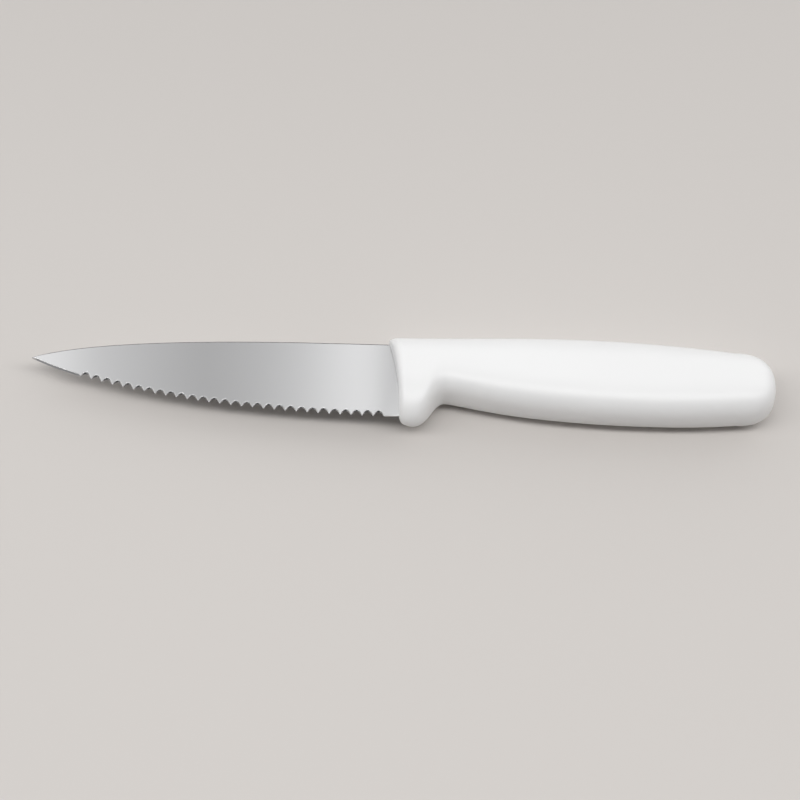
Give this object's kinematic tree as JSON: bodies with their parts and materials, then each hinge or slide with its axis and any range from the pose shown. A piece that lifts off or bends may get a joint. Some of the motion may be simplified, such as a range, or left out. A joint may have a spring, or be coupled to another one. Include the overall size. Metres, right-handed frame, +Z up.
{
  "type": "serrated paring knife",
  "caption": "Small kitchen knife with a pointed, flat-ground steel blade, a scalloped edge, and a white moulded handle with a finger guard that holds the blade by its hidden tang.",
  "frame": {"origin": "middle of the footprint of the whole knife, on the surface that the handle's side lies on", "axes": "+X from the tip to the butt, +Y from the edge to the spine, +Z up, square to the blade's middle plane"},
  "size_m": [0.207, 0.0286, 0.015],
  "materials": {
    "steel": "satin, flat-ground stainless steel with fine grind lines across the blade",
    "plastic": "smooth white moulded plastic with a soft sheen"
  },
  "bodies": {
    "root": {"blade": "steel", "handle": "plastic"}
  },
  "joints": []
}
